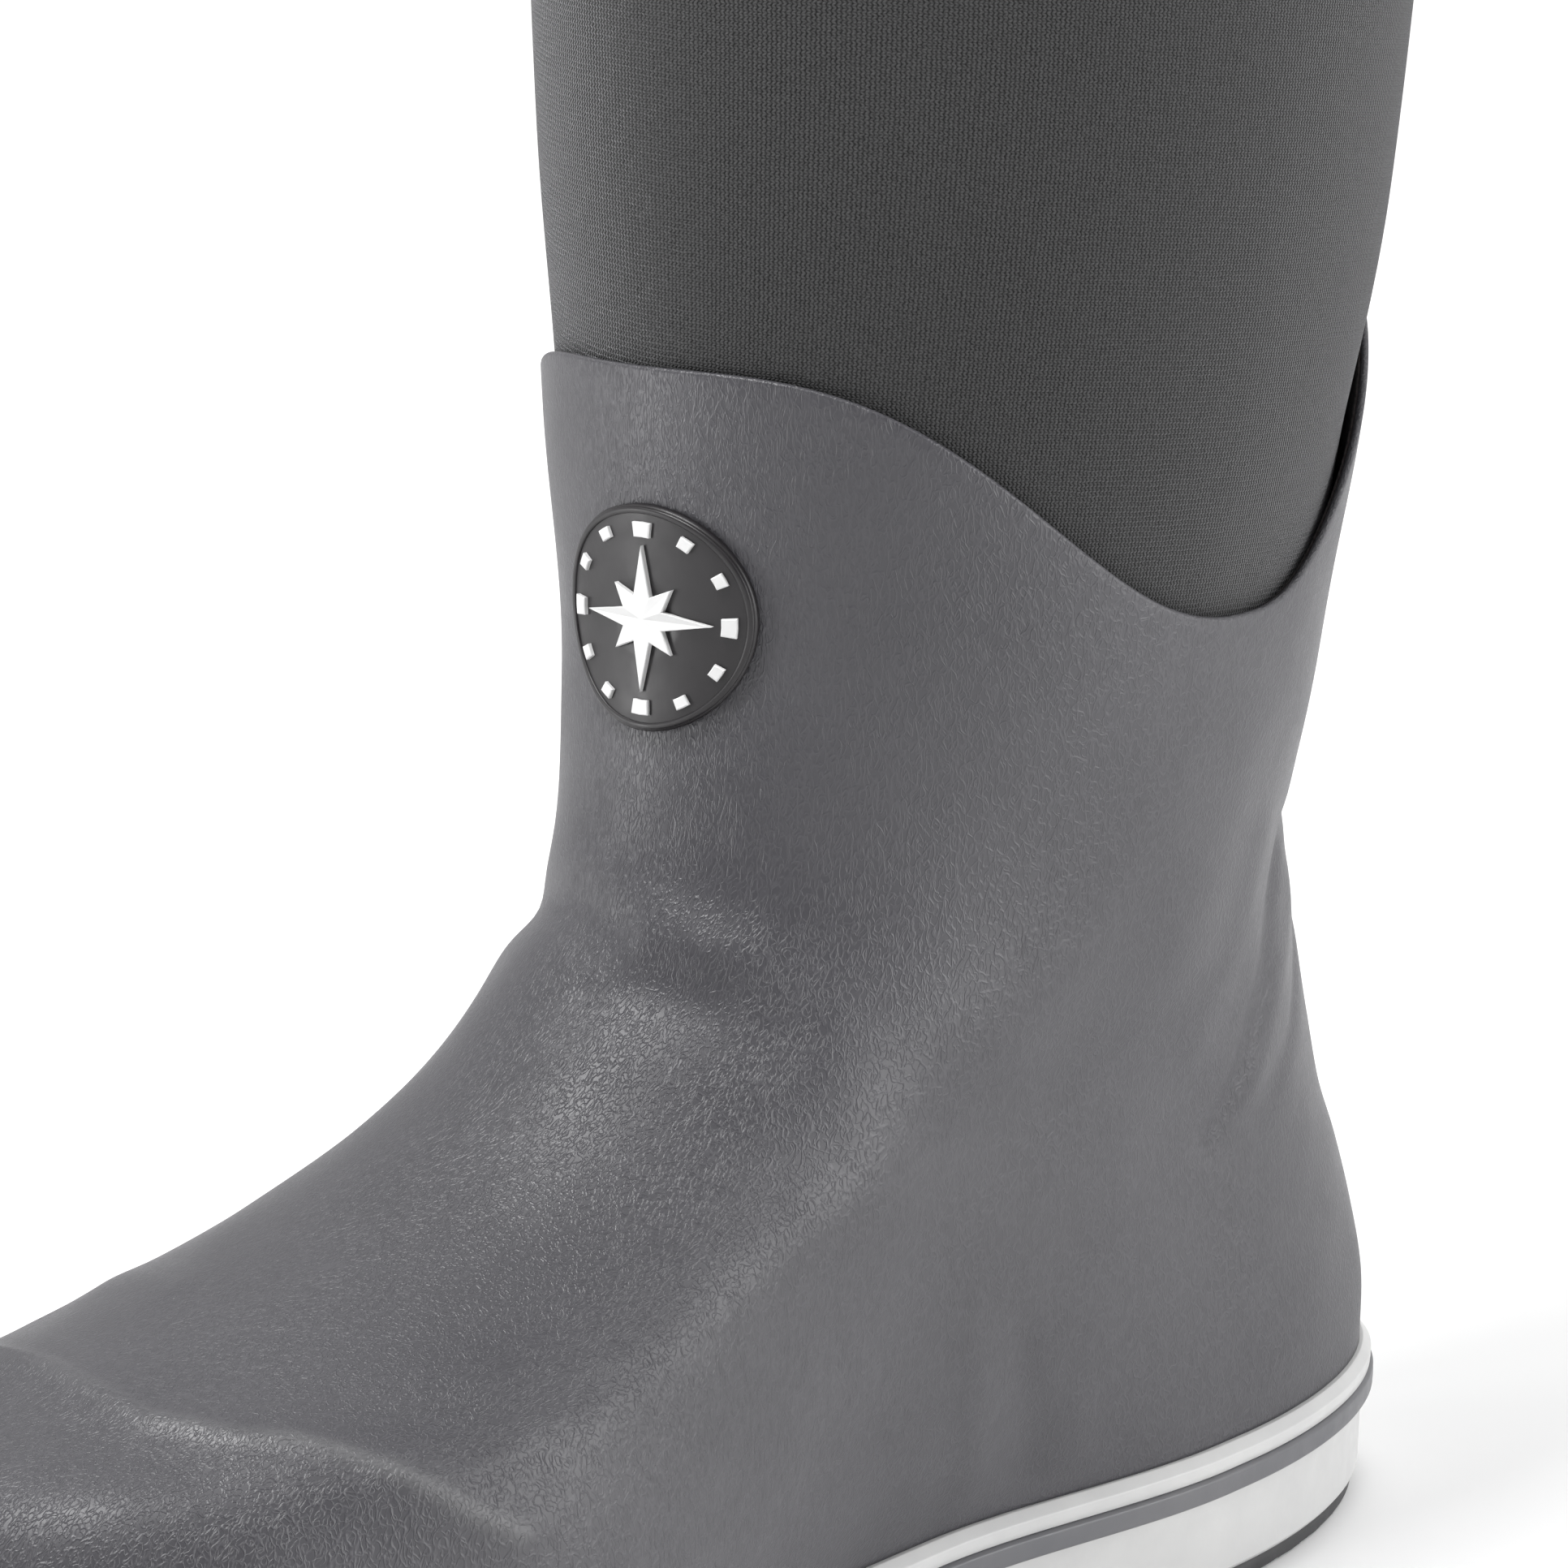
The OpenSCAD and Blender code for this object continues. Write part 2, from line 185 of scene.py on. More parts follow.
def sole_edge(a, off):
    """Outline of the sole in plan, off mm outside its widest edge."""
    step = math.radians(1)
    d = ring_point(SOLE_RING, a + step) - ring_point(SOLE_RING, a - step)
    n = unit(np.stack([d[..., 1], -d[..., 0]], -1))
    return ring_point(SOLE_RING, a)[..., :2] + off * n


def angles(n):
    """n angles around the boot, starting and ending at the back."""
    return np.linspace(-math.pi, math.pi, n, endpoint=False)


# ---------------------------------------------------------------- folds in the rubber
def line_distance(p, points):
    """Distance from each of the points p to a line through the given points."""
    best = np.full(p.shape[:-1], 1e9)
    points = np.array(points, float)
    for q, r in zip(points[:-1], points[1:]):
        d = r - q
        f = np.clip(((p - q) @ d) / (d @ d), 0, 1)
        best = np.minimum(best, np.linalg.norm(p - q - f[..., None] * d, axis=-1))
    return best


# Each fold: height in mm (below 0 for a valley), half width in mm, and points x, y and
# z above the ledge
FOLDS = [
    (0.75, 1.35, [(-30, -109, 53), (-20, -110, 54), (-8, -111, 56), (0, -112, 56), (13, -112, 55),
                 (19, -109, 55), (24, -106, 54), (29, -101, 54), (37, -95, 52), (41, -90, 48),
                 (44, -85, 44), (46, -78, 39)]),
    (0.5, 5.5, [(-30, -108, 54), (-6, -111, 56), (13, -112, 55), (24, -105, 54), (37, -94, 52),
                (43, -86, 45), (46, -78, 39)]),
    (-0.35, 5, [(-10, -121, 54), (14, -119, 54), (28, -112, 51), (40, -101, 44), (46, -90, 36)]),
    (-0.3, 6, [(-30, -100, 55), (-4, -101, 58), (14, -98, 57), (28, -91, 55), (37, -82, 52)]),
    (0.7, 12, [(-38, -104, 50), (-24, -108, 56)]),
    (0.5, 5, [(-36, -82, 53), (-26, -86, 58), (-12, -88, 60)]),
    (-1.5, 4.5, [(-26, -8, 94), (-18, -16, 99), (-8, -20, 101), (3, -21, 100)]),
    (1.1, 5, [(4, -20, 103), (12, -18, 102), (20, -14, 98)]),
    (0.5, 3, [(10, -20, 99), (17, -17, 97)]),
    (-0.8, 6, [(6, -27, 91), (18, -22, 91), (30, -12, 87)]),
    (0.8, 9, [(26, -14, 90), (34, -7, 81), (38, -1, 67)]),
    (-1.0, 3.2, [(24, 108, 100), (30, 98, 97), (32, 93, 88), (32, 92, 76), (33, 86, 62),
                 (33, 78, 52)]),
    (0.7, 6, [(36, 84, 100), (37, 80, 86), (37, 72, 72)]),
    (-0.6, 3, [(20, 114, 84), (23, 111, 76), (27, 105, 64), (31, 95, 54), (33, 84, 48)]),
    (0.4, 4, [(27, 104, 84), (30, 98, 72), (32, 90, 60)]),
    (0.7, 4, [(29, 30, 2), (31, 27, 20), (33, 22, 34)]),
    (-0.8, 4, [(28, 42, 2), (31, 38, 18), (33, 34, 30)]),
    (0.4, 4, [(29, 52, 2), (31, 49, 16)]),
    (-1.2, 5, [(-20, 113, 97), (-30, 101, 96), (-34, 92, 90), (-33, 88, 74)]),
    (0.9, 6, [(-22, 112, 88), (-29, 102, 76), (-31, 92, 62)]),
    (0.8, 8, [(-28, -12, 88), (-34, -4, 78), (-38, 6, 66)]),
]


def relief(p):
    """How far the rubber stands off its ring at point p."""
    p = p - np.array([0, 0, SOLE_H])
    x, y, z = p[..., 0], p[..., 1], p[..., 2]
    out = 0.16 * np.sin(y / 11 + z / 17 + 0.4) * np.sin(z / 13 - y / 27 + x / 31)
    out += 0.12 * np.sin(z / 7.5 + x / 19) * np.sin(y / 8.5 - x / 23 + 1.1)
    for height, width, points in FOLDS:
        out += height * np.exp(-(line_distance(p, points) / width) ** 2)
    return out * smooth(0, 8, z)


# ---------------------------------------------------------------- mesh helpers
def make_object(name, verts, faces, uvs=None):
    mesh = bpy.data.meshes.new(name)
    mesh.from_pydata((np.asarray(verts) * 0.001).tolist(), [], faces)
    if uvs is not None:
        layer_uv = mesh.uv_layers.new(name="spread")
        layer_uv.data.foreach_set("uv", np.asarray(uvs, np.float32).ravel())
    mesh.shade_smooth()
    obj = bpy.data.objects.new(name, mesh)
    bpy.context.scene.collection.objects.link(obj)
    return obj


def grid_object(name, points, wrap_rows=True, uv=None):
    """Closed ring of columns; rows close up too where wrap_rows. uv is rows x (columns + 1)."""
    rows, cols = points.shape[:2]
    j = np.arange(rows if wrap_rows else rows - 1)[:, None]
    i = np.arange(cols)[None, :]
    j2, i2 = (j + 1) % rows, (i + 1) % cols
    faces = np.stack([j * cols + i, j * cols + i2, j2 * cols + i2, j2 * cols + i], -1)
    uvs = None
    if uv is not None:
        uvs = np.stack([uv[j, i], uv[j, i + 1], uv[j2, i + 1], uv[j2, i]], 2)
    return make_object(name, points.reshape(-1, 3), faces.reshape(-1, 4).tolist(), uvs)


def around_sole(a, off, z):
    e = sole_edge(a, off)
    return np.stack([e[..., 0], e[..., 1], np.full(a.shape, float(z))], -1)


def band(name, section, n=480, place=around_sole):
    """Ring around the sole, or wherever place(angle, off, z) says, from [off, z] points."""
    a = angles(n)
    return grid_object(name, np.stack([place(a, off, z) for off, z in section]))


def finish_piece(obj, body, slot_name, material, *nodes):
    obj.data.materials.clear()
    obj.data.materials.append(material)
    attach(obj, body)
    if nodes:
        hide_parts(*nodes)


def capsules(name, centres, along, out, length, radius, sides=8):
    """Short threads lying on a surface, one at each centre."""
    profile = [(-0.5, 0.05), (-0.47, 0.55), (-0.36, 0.95), (0, 1.1), (0.36, 0.95), (0.47, 0.55),
               (0.5, 0.05)]
    verts, faces = [], []
    for c, t, n in zip(centres, along, out):
        b = np.cross(t, n)
        base = len(verts)
        for s, r in profile:
            for k in range(sides):
                w = 2 * math.pi * k / sides
                verts.append(c + t * s * length + radius * r * (n * math.sin(w) + b * math.cos(w)))
        for j in range(len(profile) - 1):
            for k in range(sides):
                k2 = (k + 1) % sides
                faces.append([base + j * sides + k, base + j * sides + k2,
                              base + (j + 1) * sides + k2, base + (j + 1) * sides + k])
        faces.append([base + k for k in range(sides)][::-1])
        faces.append([base + (len(profile) - 1) * sides + k for k in range(sides)])
    return make_object(name, verts, faces)


# ---------------------------------------------------------------- materials
class Look:
    """A node material around one Principled shader, with short calls for its maths.

    Texture scales are in mm, because coords() turns object coordinates into mm.
    """

    def __init__(self, name, colour, roughness, **sockets):
        self.mat = bpy.data.materials.new(name)
        self.mat.use_nodes = True
        self.tree = self.mat.node_tree
        self.shader = self.tree.nodes["Principled BSDF"]
        self.shader.inputs["Base Color"].default_value = (*colour, 1)
        self.shader.inputs["Roughness"].default_value = roughness
        for key, value in sockets.items():
            self.shader.inputs[key.replace("_", " ")].default_value = value
        self.normal = None

    def node(self, kind, inputs=(), **settings):
        n = self.tree.nodes.new(kind)
        for key, value in settings.items():
            setattr(n, key, value)
        for key, value in dict(inputs).items():
            self.put(n.inputs[key], value)
        return n

    def put(self, socket, value):
        if isinstance(value, bpy.types.NodeSocket):
            self.tree.links.new(value, socket)
        else:
            socket.default_value = value

    def math(self, operation, *values, clamp=False):
        n = self.node("ShaderNodeMath", operation=operation, use_clamp=clamp)
        for socket, value in zip(n.inputs, values):
            self.put(socket, value)
        return n.outputs[0]

    def coords(self, scale=(1000, 1000, 1000)):
        c = self.node("ShaderNodeTexCoord").outputs["Object"]
        return self.node("ShaderNodeVectorMath", {0: c, 1: scale},
                         operation="MULTIPLY").outputs[0]

    def noise(self, vector, scale, detail=2.0, rough=0.5, out="Fac"):
        return self.node("ShaderNodeTexNoise", {"Vector": vector, "Scale": scale,
                         "Detail": detail, "Roughness": rough}).outputs[out]

    def span(self, value, lo, hi, to_lo, to_hi):
        return self.node("ShaderNodeMapRange", {"Value": value, "From Min": lo, "From Max": hi,
                         "To Min": to_lo, "To Max": to_hi}).outputs[0]

    def tint(self, factor, dark, light):
        n = self.node("ShaderNodeMix", data_type="RGBA")
        self.put(n.inputs["Factor"], factor)
        n.inputs[6].default_value = (*dark, 1)
        n.inputs[7].default_value = (*light, 1)
        self.put(self.shader.inputs["Base Color"], n.outputs[2])
        return n.outputs[2]

    def bump(self, height, distance, strength=1.0):
        n = self.node("ShaderNodeBump", {"Height": height, "Distance": distance,
                      "Strength": strength})
        if self.normal is not None:
            self.put(n.inputs["Normal"], self.normal)
        self.normal = n.outputs[0]
        self.put(self.shader.inputs["Normal"], self.normal)


def grained_rubber(name, dark, light, rough, crest_highlight):
    """Moulded rubber with fine wandering ridges, longest upwards.

    The x of the spread map says how strongly a painted highlight lightens the rubber along the
    crease's crest.
    """
    m = Look(name, light, rough, Specular_IOR_Level=0.5)
    along = m.node("ShaderNodeMapping", {"Vector": m.coords((1, 1, 1)),
                                         "Rotation": (0, 0, math.radians(-44)),
                                         "Scale": (1000, 500, 310)}, vector_type="POINT")
    mm = along.outputs[0]
    warp = m.noise(mm, 0.9, 1, out="Color")
    bent = m.node("ShaderNodeVectorMath", {0: warp, 1: (0.4, 0.4, 0.3), 2: mm},
                  operation="MULTIPLY_ADD").outputs[0]
    ridges = []
    for scale, width in ((1.55, 0.075), (2.3, 0.08)):
        away = m.math("ABSOLUTE", m.math("SUBTRACT", m.noise(bent, scale, 0.5, 0.4), 0.5))
        ridges.append(m.math("SUBTRACT", 1, m.math("DIVIDE", away, width, clamp=True)))
        bent = m.node("ShaderNodeVectorMath", {0: bent, 1: (31, 17, 23)}).outputs[0]
    ridge = m.math("MAXIMUM", ridges[0], m.math("MULTIPLY", ridges[1], 0.7))
    patch = m.noise(m.coords(), 0.05, 2)
    m.bump(m.math("MULTIPLY", ridge, m.span(patch, 0.3, 0.7, 0.6, 1.0)), 0.00008, 0.9)
    # the broad noise is the rubber's own uneven tone; the ridges added to it are painted lighter, a
    # painted highlight on the grain's crests
    broad = m.noise(m.coords(), 0.018, 3)
    body = m.tint(m.math("ADD", m.span(broad, 0.3, 0.7, 0, 0.6),
                         m.math("MULTIPLY", ridge, 0.4)), dark, light)
    # the crease mask from the spread map mixes in a lighter colour: a painted highlight along the
    # crease's crest
    highlight_share = m.node("ShaderNodeSeparateXYZ", {0: m.node(
        "ShaderNodeUVMap", uv_map="spread").outputs[0]}).outputs[0]
    highlight_mix = m.node("ShaderNodeMix", data_type="RGBA")
    m.put(highlight_mix.inputs["Factor"], highlight_share)
    m.put(highlight_mix.inputs[6], body)
    highlight_mix.inputs[7].default_value = (*crest_highlight, 1)
    m.put(m.shader.inputs["Base Color"], highlight_mix.outputs[2])
    m.put(m.shader.inputs["Roughness"], m.span(patch, 0.3, 0.7, rough - 0.03, rough + 0.05))
    return m.mat


def knit(name, dark, light):
    """Jersey: zigzag columns of slanted stitches, one unit a stitch in the spread map."""
    m = Look(name, light, 0.85, Specular_IOR_Level=0.25, Sheen_Weight=0.4,
             Sheen_Roughness=0.32)
    m.shader.inputs["Sheen Tint"].default_value = (0.9, 0.9, 0.93, 1)
    uv = m.node("ShaderNodeUVMap", uv_map="spread").outputs[0]
    wobble = m.noise(uv, 0.25, 2, out="Color")
    uv = m.node("ShaderNodeVectorMath", {0: wobble, 1: (0.5, 0.7, 0), 2: uv},
                operation="MULTIPLY_ADD").outputs[0]
    split = m.node("ShaderNodeSeparateXYZ", {0: uv})
    u, v = split.outputs[0], split.outputs[1]
    zigzag = m.math("ABSOLUTE", m.math("SUBTRACT", m.math("FRACT", v), 0.5))
    column = m.math("FRACT", m.math("MULTIPLY_ADD", zigzag, 0.9, u))
    gap = m.math("MULTIPLY", m.math("ABSOLUTE", m.math("SUBTRACT", column, 0.5)), 2)
    yarn = m.math("SUBTRACT", 1, m.math("POWER", gap, 1.9))
    turn = m.math("ABSOLUTE", m.math("COSINE", m.math("MULTIPLY", v, 2 * math.pi)))
    turn = m.math("MULTIPLY", m.math("POWER", turn, 4), 0.4)
    height = m.math("MULTIPLY", yarn, m.math("SUBTRACT", 1, turn))
    m.bump(height, 0.00022, 0.8)
    fuzz = m.span(m.noise(m.coords(), 3.2, 2), 0.3, 0.7, -0.3, 0.3)
    # random fuzz is the yarn's own uneven tone; tinting by height paints the gaps between yarns
    # near black, a painted shade
    m.tint(m.math("ADD", fuzz, height, clamp=True), dark, light)
    return m.mat


def smooth_rubber(name, dark, light, rough, grain=0.00003):
    m = Look(name, light, rough, Specular_IOR_Level=0.45)
    mm = m.coords()
    m.bump(m.noise(mm, 1.2, 3), grain, 0.5)
    m.bump(m.noise(mm, 0.08, 2), 0.0003, 0.15)
    m.tint(m.span(m.noise(mm, 0.05, 4, 0.6), 0.3, 0.7, 0, 1), dark, light)
    m.put(m.shader.inputs["Roughness"],
          m.span(m.noise(mm, 0.3, 3), 0.3, 0.7, rough - 0.05, rough + 0.07))
    return m.mat


def fabric(name, dark, light, across, up, pitch, sheen):
    """Woven or ribbed cloth; across and up weigh the ribs along X or Y and along Z."""
    m = Look(name, light, 0.9, Specular_IOR_Level=0.2, Sheen_Weight=sheen)
    mm = m.coords()
    xyz = m.node("ShaderNodeSeparateXYZ", {0: mm})
    flat = m.math("ADD", xyz.outputs[0], xyz.outputs[1])
    ribs = [m.math("MULTIPLY", m.math("SINE", m.math("MULTIPLY", s, 2 * math.pi / pitch)), w)
            for s, w in ((flat, across), (xyz.outputs[2], up))]
    height = m.math("MULTIPLY_ADD", m.math("ADD", *ribs), 0.25, 0.5)
    fuzz = m.noise(mm, 3.5, 3)
    m.bump(m.math("ADD", height, m.math("MULTIPLY", fuzz, 0.5)), 0.0002, 0.7)
    # random fuzz is the cloth's own uneven tone; tinting by rib height paints the grooves between
    # ribs darker, a painted shade
    m.tint(m.math("MULTIPLY_ADD", fuzz, 0.6, m.math("MULTIPLY", height, 0.5), clamp=True),
           dark, light)
    return m.mat


def brushed_metal(name, colour):
    m = Look(name, colour, 0.35, Metallic=1.0)
    streak = m.noise(m.coords((2000, 30, 2000)), 1, 3)
    m.bump(streak, 0.00002, 0.5)
    m.put(m.shader.inputs["Roughness"], m.span(streak, 0.3, 0.7, 0.25, 0.45))
    return m.mat


def fibre_board(name, dark, light):
    """Pressed fibre, speckled."""
    m = Look(name, light, 0.9)
    n = m.noise(m.coords(), 0.9, 5, 0.7)
    m.bump(n, 0.0002, 0.6)
    m.tint(m.span(n, 0.35, 0.65, 0, 1), dark, light)
    return m.mat


# the last colour is the painted highlight laid along the sharp crease's crest
shell_rubber = grained_rubber("shell_rubber", (0.036, 0.035, 0.0405), (0.0575, 0.056, 0.063), 0.42,
                              (0.15, 0.15, 0.152))
# the jersey's dark colour is the painted shade in the gaps between yarns
jersey = knit("neoprene_jersey", (0.003, 0.003, 0.003), (0.060, 0.060, 0.061))
pale_rubber = smooth_rubber("pale_rubber", (0.48, 0.48, 0.48), (0.545, 0.545, 0.54), 0.42)
stripe_rubber = smooth_rubber("stripe_rubber", (0.105, 0.106, 0.115), (0.135, 0.135, 0.142), 0.4)
sole_rubber = smooth_rubber("outsole_rubber", (0.03, 0.03, 0.032), (0.055, 0.055, 0.057), 0.6)
core_rubber = smooth_rubber("core_rubber", (0.07, 0.07, 0.07), (0.1, 0.1, 0.1), 0.7)
badge_black = smooth_rubber("badge_black", (0.008, 0.0068, 0.008), (0.0135, 0.0118, 0.0135), 0.42)
badge_white = smooth_rubber("badge_white", (0.6, 0.6, 0.6), (0.67, 0.67, 0.67), 0.4)
backing = fabric("backing_fabric", (0.008, 0.006, 0.006), (0.035, 0.028, 0.028), 1, 1, 0.9, 0.1)
lining_cloth = fabric("lining_fabric", (0.012, 0.012, 0.013), (0.05, 0.05, 0.052), 0.4, 1, 1.1, 0.5)
tape = fabric("binding_fabric", (0.006, 0.006, 0.0065), (0.034, 0.034, 0.036), 0.5, 1, 0.8, 0.3)
webbing = fabric("loop_webbing", (0.006, 0.006, 0.0065), (0.036, 0.036, 0.038), 1, 0.35, 1.4, 0.3)
thread = fabric("thread", (0.012, 0.012, 0.013), (0.07, 0.07, 0.073), 1, 1, 0.3, 0.2)
foam = smooth_rubber("footbed_foam", (0.03, 0.05, 0.075), (0.045, 0.075, 0.105), 0.8, 0.0001)
board = fibre_board("lasting_board", (0.35, 0.3, 0.22), (0.52, 0.47, 0.36))
stiffener = fibre_board("stiffener", (0.13, 0.1, 0.06), (0.22, 0.17, 0.1))
steel = brushed_metal("shank_steel", (0.6, 0.6, 0.61))


# ---------------------------------------------------------------- rubber shell
# strength of the painted highlight that lightens the rubber along the sharp crease's crest
CREST_HIGHLIGHT_STRENGTH = 0.45


def row_steps(foot, above):
    """Row shares: 0 to 1 in the foot up to ring 4, then 1 to 2 up to the top."""
    return np.concatenate([np.linspace(0, 1, foot, endpoint=False), np.linspace(1, 2, above)])


def row_t(share, top):
    """Ring numbers for those shares, where the top edge is at ring number top."""
    share = share[:, None]
    return np.where(share <= 1, share * 4, mix(4, top[None, :], share - 1))


def rubber_layer(name, cols, foot, above, outside, inside, drop, fold_share):
    """Closed sleeve that ends drop mm under the topline, with a rounded top edge."""
    a = angles(cols)
    radius = (outside - inside) / 2
    top = level(topline(a) - drop - radius, a)
    up = unit(layer(top + 0.02, a, 0) - layer(top - 0.02, a, 0))
    rows = row_t(row_steps(foot, above), top)
    base = skin(rows, a[None, :])
    lift = relief(base) * fold_share
    outer = layer(rows, a[None, :], outside + lift)
    edge = [layer(top, a, mix(inside, outside, 0.5) + radius * math.cos(w) + lift[-1])
            + up * radius * math.sin(w) for w in np.linspace(0, math.pi, 8)[1:-1]]
    inner_rows = row_t(row_steps(8, 18), top)[::-1]
    inner = layer(inner_rows, a[None, :], inside + relief(skin(inner_rows, a[None, :])))
    points = np.concatenate([outer, np.stack(edge), inner])
    # the spread map's x marks the sharp crease over the toes, where a painted highlight lightens
    # its crest
    full = np.concatenate([points, points[:, :1]], 1) - np.array([0, 0, SOLE_H])
    crest_highlight = np.exp(-(line_distance(full, FOLDS[0][2]) / FOLDS[0][1]) ** 2)
    return grid_object(name, points, True,
                       np.stack([crest_highlight * CREST_HIGHLIGHT_STRENGTH, np.zeros_like(crest_highlight)], -1))


shell = rubber_layer("rubber_upper", 420, 80, 118, 0, RUBBER_IN, 0, 1.0)
finish_piece(shell, "boot", "shell_rubber", shell_rubber, "rubber_shell")
net = rubber_layer("shell_net", 360, 30, 60, RUBBER_IN, NET_IN, 0.5, 0.9)
finish_piece(net, "boot", "backing_fabric", backing, "shell_backing")


# ---------------------------------------------------------------- neoprene leg and lining
# width of a column of stitches and height of a row, in mm, and how steeply rows climb
WALE, COURSE = 0.66, 0.74
COURSE_SLOPE = math.tan(math.radians(4))


def bootie_offset(t, a, z, deep):
    """Offset of the bootie: held in by the shell, slack at the back, free above."""
    back = smooth(math.radians(95), math.radians(150), np.abs(a))
    above = z - topline(a)
    inside = BOOTIE_OUT - 0.9 * back * (1 - smooth(-6, 30, above))
    free = mix(inside, -1.5 + 0.6 * back, smooth(-2, 34, above))
    return free + tucked(t) - deep


def sleeve(name, cols, foot, leg, outside, inside, bottom=0.0):
    """Closed sleeve up to the hem, between two depths under the bootie's outside."""
    a = angles(cols)
    top = level(HEM_Z, a)
    rows = np.maximum(row_t(row_steps(foot, leg), top), bottom)
    z = skin(rows, a[None, :])[..., 2]
    outer = layer(rows, a[None, :], bootie_offset(rows, a[None, :], z, outside))
    inner = layer(rows[::-1], a[None, :], bootie_offset(rows, a[None, :], z, inside)[::-1])
    # stitches: columns by distance around the leg, courses by distance up it
    full = np.append(a, math.pi)
    ring = skin(10.5, full)
    around = np.append(0, np.cumsum(np.linalg.norm(np.diff(ring, axis=0), axis=1)))
    around -= around[cols // 2]
    full_z = np.concatenate([z, z[:, :1]], 1)
    u = np.broadcast_to(around / WALE, full_z.shape)
    v = (full_z + COURSE_SLOPE * around[None, :]) / COURSE
    uv = np.stack([u, v], -1)
    return grid_object(name, np.concatenate([outer, inner]), True,
                       np.concatenate([uv, uv[::-1]]))


leg = sleeve("neoprene_leg", 360, 24, 130, 0, NEOPRENE_T)
finish_piece(leg, "boot", "neoprene_jersey", jersey, "neoprene_shaft")
lining = sleeve("leg_lining", 240, 20, 70, NEOPRENE_T + 0.02, NEOPRENE_T + 0.75, 0.02)
finish_piece(lining, "boot", "lining_fabric", lining_cloth, "lining")


# ---------------------------------------------------------------- sole bands
def arc(off, z, radius, start, end, n=5):
    """Rounded corner of a section, angles in degrees from outward towards up."""
    return [(off + radius * math.cos(math.radians(w)), z + radius * math.sin(math.radians(w)))
            for w in np.linspace(start, end, n)]


welt = band("foxing_welt", [(-6, 21.6), (-0.75, 21.6), (-0.6, 21.75), (-0.5, 22.8)]
            + arc(-0.85, 23.85, 0.4, 0, 50) + arc(-2.0, 25.1, 0.4, 45, 85)
            + [(-2.6, 25.52), (-6, 25.52)])
finish_piece(welt, "boot", "pale_rubber", pale_rubber, "welt")
bead = band("foxing_stripe", [(-4, 17.7)] + arc(-0.6, 18.2, 0.55, -80, 0)
            + [(0, 19.2), (0, 20.4)] + arc(-0.4, 20.85, 0.4, 0, 60)
            + [(-0.9, 21.56), (-4, 21.58)])
finish_piece(bead, "boot", "stripe_rubber", stripe_rubber, "stripe")
wall = band("foxing_sidewall", [(-4, 2.9), (-3.1, 2.9), (-2.85, 3.0)]
            + arc(-3.0, 4.1, 0.8, -60, 0)
            + [(-2.1, 6), (-2.05, 10), (-2.0, 13), (-1.8, 15.2), (-1.4, 16.6), (-0.85, 17.5),
               (-0.7, 17.7), (-4, 17.7)])
finish_piece(wall, "boot", "pale_rubber", pale_rubber, "sidewall")
sole_rim = band("outsole_rim", [(-7, 0.06), (-3.75, 0.06)] + arc(-3.7, 0.5, 0.4, -60, 0)
                + [(-3.3, 1.5), (-3.4, 2.89), (-7, 2.89)])
finish_piece(sole_rim, "boot", "outsole_rubber", sole_rubber)


# ---------------------------------------------------------------- footbed
def insole(name, off, z0, z1, cup):
    """Closed slab with a slightly dished top, higher around the heel."""
    a = angles(200)
    e = sole_edge(a, off)
    centre = np.stack([np.zeros_like(a), np.clip(e[:, 1], -85, 105)], -1)
    rows = []
    for share in np.linspace(0.02, 1, 24):
        xy = mix(centre, e, share)
        heel = smooth(20, 90, xy[:, 1])
        rim = 0.6 + cup * heel
        rows.append(np.column_stack([xy, z1 + rim * share ** 6 - 0.5 * heel * (1 - share ** 2)]))
    under = [np.column_stack([mix(centre, e, s), np.full(len(a), float(z0))]) for s in (1, 0.02)]
    return grid_object(name, np.stack(rows + under)[::-1])


foam_bed = insole("footbed_foam", -12.6, SOLE_H + 2.6, SOLE_H + 5.4, 1.6)
finish_piece(foam_bed, "boot", "footbed_foam", foam, "footbed")
bed_cover = insole("footbed_cloth", -12.9, SOLE_H + 5, SOLE_H + 6.2, 1.6)
finish_piece(bed_cover, "boot", "lining_fabric", lining_cloth, "footbed_cover")

# ---------------------------------------------------------------- top binding
BINDING_H = 14
BINDING_LOW = BOOT_H - BINDING_H
PUCKERS, HEM_STITCHES = 130, 124


def hem_place(a, off, z):
    """Outer points count from the neoprene and pucker; inner ones count from the skin."""
    t = level(min(z, BOOT_H - 1), a)
    if off > -3:
        pucker = 0.12 * np.cos(a * PUCKERS) * smooth(-6, -12, z - BOOT_H)
        off = bootie_offset(t, a, z, 0) + off + pucker
    q = layer(t, a, off)
    q[..., 2] = z
    return q


def binding_section():
    low, top = BINDING_LOW, BOOT_H
    outer = [(0.1, low), (0.62, low + 0.15), (0.8, low + 0.7), (0.72, low + 2.6), (0.95, low + 6),
             (1.0, top - 2.6), (0.75, top - 1.1), (0.1, top - 0.3), (-1.5, top - 0.05)]
    inner = [(-3.6, top - 0.05), (-5.6, top - 0.5), (-6.6, top - 1.4), (-6.9, top - 3),
             (-6.9, low + 2.6), (-6.75, low + 0.7), (-6.5, low + 0.1), (-5.6, low + 0.05)]
    return outer + inner


binding = band("top_binding", binding_section(), 520, hem_place)
finish_piece(binding, "boot", "binding_fabric", tape, "top_binding")


